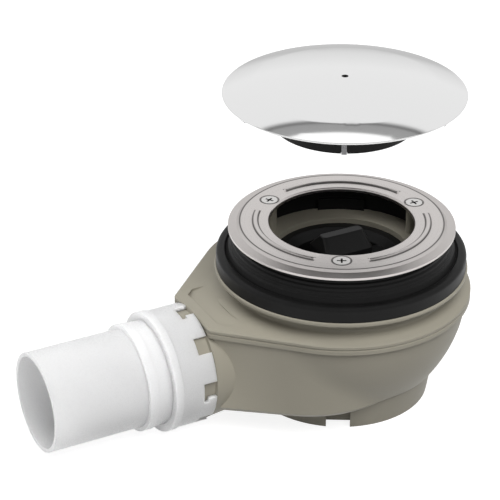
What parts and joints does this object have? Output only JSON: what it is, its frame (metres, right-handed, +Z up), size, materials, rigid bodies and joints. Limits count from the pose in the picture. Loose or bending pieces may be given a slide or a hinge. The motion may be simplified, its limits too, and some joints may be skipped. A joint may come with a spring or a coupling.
{
  "type": "shower trap",
  "caption": "Low shower trap: moulded bowl with a side outlet pipe, lift-out water-seal insert, tray gasket with clamp ring, and a domed cover held above its drain hole.",
  "frame": {"origin": "on the drain's axis at the floor that the foot ring stands on", "axes": "+Z up along the drain's axis, the outlet runs along -X, +Y completes the right-handed frame"},
  "size_m": [0.2314, 0.1442, 0.1712],
  "materials": {
    "body": "fine moulded matte",
    "insert": "satin black",
    "seal": "matte",
    "connector": "smooth white",
    "gasket": "matte black",
    "ring": "brushed stainless",
    "screws": "stainless",
    "cover": "polished",
    "carrier": "light grey",
    "collar": "satin black"
  },
  "bodies": {
    "root": {"lower_shell": "body", "upper_shell": "body", "trap_insert": "insert", "insert_seal": "seal", "outlet_connector": "connector", "outlet_seal": "seal", "tray_gasket": "gasket", "clamp_ring": "ring", "clamp_screws": "screws", "cover_plate": "cover", "cover_carrier": "carrier", "cover_collar": "collar"}
  },
  "joints": []
}
